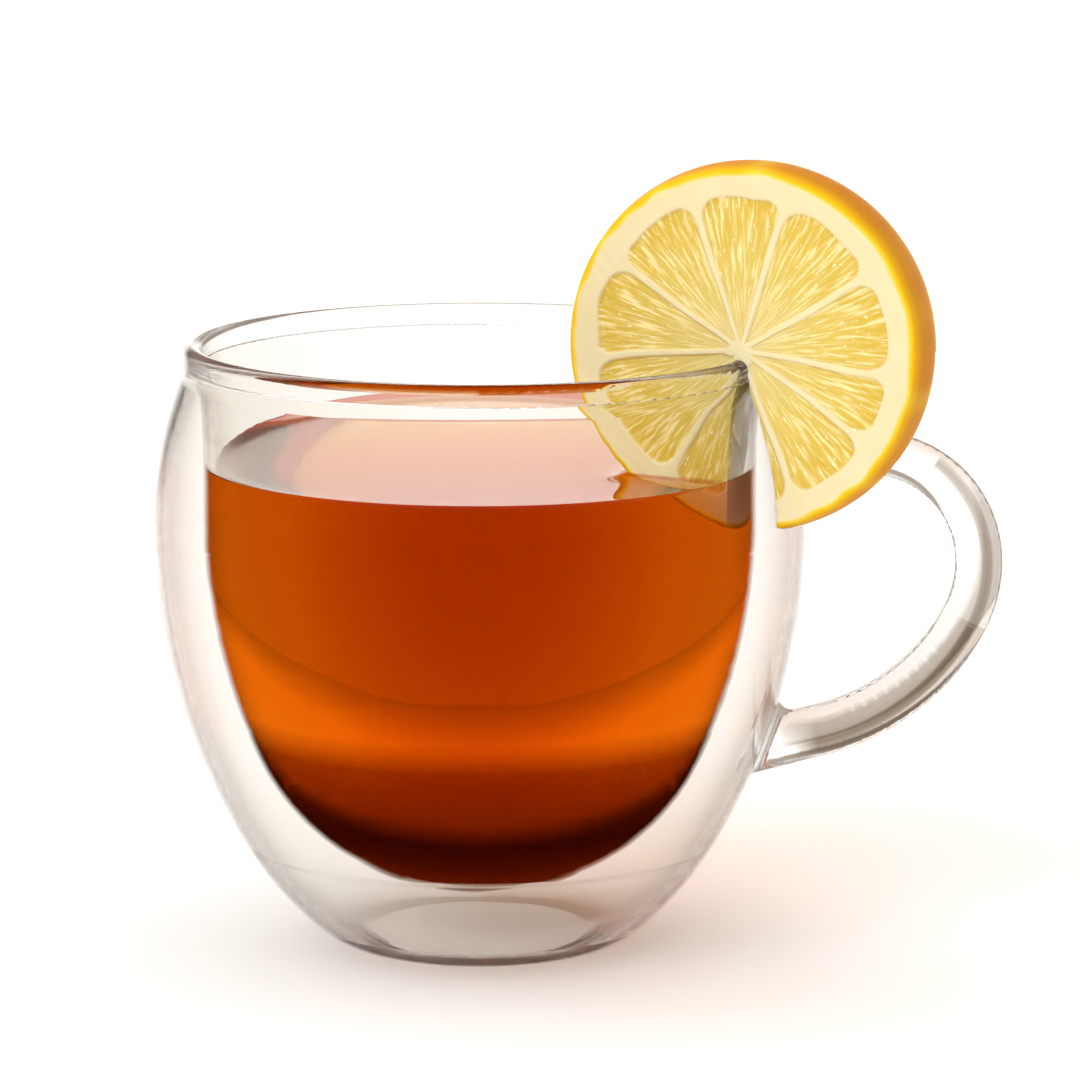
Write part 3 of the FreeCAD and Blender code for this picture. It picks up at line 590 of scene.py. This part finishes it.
def flesh_depth(x, z):
    """How far a point of the cut face lies inside a segment's flesh, in metres; below 0 it is outside."""
    radius, angle = np.hypot(x, z), np.arctan2(z, x)
    angle = angle + 0.02 * wave(radius / 0.004, angle * 3, 11)
    index, turned, low, high = segment_of(angle)
    half_membrane = 0.25 * MM + 0.012 * radius
    from_low = radius * np.sin(np.minimum(turned - low, math.pi / 2)) - half_membrane
    from_high = radius * np.sin(np.minimum(high - turned, math.pi / 2)) - half_membrane
    middle = (turned - (low + high) / 2) / ((high - low) / 2)
    unevenness = 0.25 * MM * wave(angle * 9, index * 1.7, 5)
    from_rim = FLESH_RADIUS + 0.35 * MM - 0.5 * MM * middle ** 2 + unevenness - radius
    from_core = radius - 2.0 * MM - 0.5 * MM * wave(angle * 4, index * 2.3, 8)
    corner = np.minimum(2.3 * MM, 0.22 * radius + 0.2 * MM)
    inner = np.minimum(from_low, from_high)
    a, b = np.maximum(corner - inner, 0), np.maximum(corner - from_rim, 0)
    rounded = np.where((a > 0) & (b > 0), corner - np.hypot(a, b), np.minimum(inner, from_rim))
    return np.minimum(rounded, from_core), index, turned, radius


def vesicles(index, turned, radius, seed):
    """Juice sacs fanning out from the core.

    Gives how near each point is to a sac's skin, and how far it is from the sac's middle.
    """
    rng = np.random.default_rng(seed)
    wide, long = math.radians(2.6), 6.5 * MM
    bend = 0.5 * wave(radius / 0.005, turned * 4, seed + 1)
    u = turned / wide + bend
    v = radius / long
    cells = []
    for i in range(-90, 160):
        for j in range(-1, 7):
            cells.append((i + rng.uniform(-0.4, 0.4), j + (i % 2) * 0.5 + rng.uniform(-0.35, 0.35)))
    tree = kdtree.KDTree(len(cells))
    for number, (a, b) in enumerate(cells):
        tree.insert((a, b, 0), number)
    tree.balance()
    near, second = np.zeros(len(u)), np.zeros(len(u))
    for n in range(len(u)):
        found = tree.find_n((u[n], v[n], 0), 2)
        near[n], second[n] = found[0][2], found[1][2]
    return second - near, near


def relief(x, z, seed):
    """How far the cut face lies below flat, and the masks that colour it."""
    depth, index, turned, radius = flesh_depth(x, z)
    flesh = np.clip(depth / (0.3 * MM) + 0.3, 0, 1)
    flesh = flesh * flesh * (3 - 2 * flesh)
    skin = np.full(len(x), 1.0)
    bulge = np.zeros(len(x))
    inside = depth > -0.3 * MM
    skin[inside], bulge[inside] = vesicles(index[inside], turned[inside], radius[inside], seed)
    streak = np.clip(1 - skin / 0.22, 0, 1) * flesh
    lumps = 0.05 * MM * wave(x / 0.0011, z / 0.0011, seed)
    sunk = flesh * (0.34 * MM + 0.09 * MM * np.clip(bulge, 0, 1) + lumps)
    pith = (1 - flesh) * 0.04 * MM * wave(x / 0.0009, z / 0.0009, seed + 3)
    return sunk + np.abs(pith), flesh, streak, np.clip(radius / FLESH_RADIUS, 0, 1)


def make_slice():
    """A round slice with sunken flesh on both faces, slit from below to straddle the lip."""
    around, steps, peel_steps = 500, 88, 14
    edge = SLICE_RADIUS - SLICE_BULGE
    rounding = 0.5 * MM
    profile = []
    for i in range(1, steps + 1):
        profile.append(((edge - rounding) * (i / steps) ** 0.92, -SLICE_HALF, True))
    for i in range(1, peel_steps):
        y = -SLICE_HALF * math.cos(math.pi * i / peel_steps) * 0.985
        profile.append((SLICE_RADIUS - SLICE_CROWN + math.sqrt(SLICE_CROWN ** 2 - y ** 2), y, False))
    profile += [(r, SLICE_HALF, True) for r, _, face in reversed(profile[:steps])]
    turn = np.linspace(0, 2 * math.pi, around, endpoint=False)
    dent = 0.006 * (1 + wave(turn * 2, turn * 0, 21)) / 2
    rings = []
    for radius, y, face in profile:
        ring = np.stack([np.cos(turn) * radius, np.full(around, y), np.sin(turn) * radius], -1)
        ring[:, [0, 2]] *= (1 - dent * (radius / SLICE_RADIUS) ** 2)[:, None]
        if face:
            sunk = relief(ring[:, 0], ring[:, 2], FRONT_SEED if y < 0 else BACK_SEED)[0]
            ring[:, 1] -= math.copysign(1, y) * sunk
        rings.append(ring)
    rings = np.array(rings)
    ends = [(0, -SLICE_HALF + 0.1 * MM, 0), (0, SLICE_HALF - 0.1 * MM, 0)]
    vertices = np.concatenate([[ends[0]], rings.reshape(-1, 3), [ends[1]]])
    faces = [tuple(reversed(face)) for face in ring_faces(len(rings), around)]
    piece = link_mesh("lemon_round", from_slice(vertices), faces, lemon_material())
    cut_slit(piece)
    paint(piece)
    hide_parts("lemon_slice")


def cut_slit(piece):
    """Takes the room of the lip and both walls out of the slice, with a hair to spare."""
    spare, around = 0.12 * MM, 320
    low, top = 50 * MM, RIM + spare
    middle = LIP_RADIUS - LIP_THICKNESS / 2
    heights = np.linspace(low, RIM - LIP_THICKNESS / 2, 70)
    outer = [(outside_radius(h) + spare, h) for h in heights]
    inner = [(inside_radius(h) - spare, h) for h in heights]
    round_radius = LIP_THICKNESS / 2 + spare
    over = [(middle + round_radius * math.cos(a), RIM - LIP_THICKNESS / 2 + round_radius * math.sin(a))
            for a in np.linspace(0, math.pi, 14)[1:-1]]
    loop = outer + over + inner[::-1]
    turn = np.linspace(-0.75, 0.75, around) + SLICE_AZIMUTH
    vertices = [(r * math.cos(a), r * math.sin(a), z) for a in turn for r, z in loop]
    size = len(loop)
    faces = [(i * size + j, i * size + (j + 1) % size, (i + 1) * size + (j + 1) % size, (i + 1) * size + j)
             for i in range(around - 1) for j in range(size)]
    faces.append(tuple(range(size)))
    faces.append(tuple(reversed(range((around - 1) * size, around * size))))
    mesh = bpy.data.meshes.new("walls")
    mesh.from_pydata(vertices, [], faces)
    cutter = bpy.data.objects.new("walls", mesh)
    bpy.context.scene.collection.objects.link(cutter)
    fix_normals(cutter)
    fix_normals(piece)
    modifier = piece.modifiers.new("slit", "BOOLEAN")
    modifier.operation = "DIFFERENCE"
    modifier.solver = "EXACT"
    modifier.object = cutter
    graph = bpy.context.evaluated_depsgraph_get()
    result = bpy.data.meshes.new_from_object(piece.evaluated_get(graph))
    piece.modifiers.clear()
    piece.data = result
    bpy.data.objects.remove(cutter)


def fix_normals(piece):
    """Turns every face outward."""
    work = bmesh.new()
    work.from_mesh(piece.data)
    bmesh.ops.recalc_face_normals(work, faces=work.faces)
    work.to_mesh(piece.data)
    work.free()


def paint(piece):
    """Masks for the material: flesh, sac skins, distance out from the core, and peel."""
    mesh = piece.data
    points = np.zeros(len(mesh.vertices) * 3)
    mesh.vertices.foreach_get("co", points)
    local = in_slice(points.reshape(-1, 3))
    x, y, z = local[:, 0], local[:, 1], local[:, 2]
    masks = np.zeros((len(x), 4))
    for side, seed in ((-1, FRONT_SEED), (1, BACK_SEED)):
        chosen = (y * side) > 0
        _, flesh, streak, outward = relief(x[chosen], z[chosen], seed)
        masks[chosen, 0], masks[chosen, 1], masks[chosen, 2] = flesh, streak, outward
    radius = np.hypot(x, z)
    outer = SLICE_RADIUS - SLICE_CROWN + np.sqrt(SLICE_CROWN ** 2 - np.minimum(np.abs(y), SLICE_HALF) ** 2)
    ragged = 0.25 * MM * wave(x / 0.0016, z / 0.0016, 31)
    masks[:, 3] = np.clip(1 - (outer - radius + ragged) / (1.0 * MM), 0, 1)
    layer = mesh.color_attributes.new("masks", "FLOAT_COLOR", "POINT")
    layer.data.foreach_set("color", masks.reshape(-1))


make_camera()
make_floor()
make_world()
make_lights()
set_light_paths()
GLASS.data.materials.clear()
GLASS.data.materials.append(glass_material())
make_tea()
make_slice()
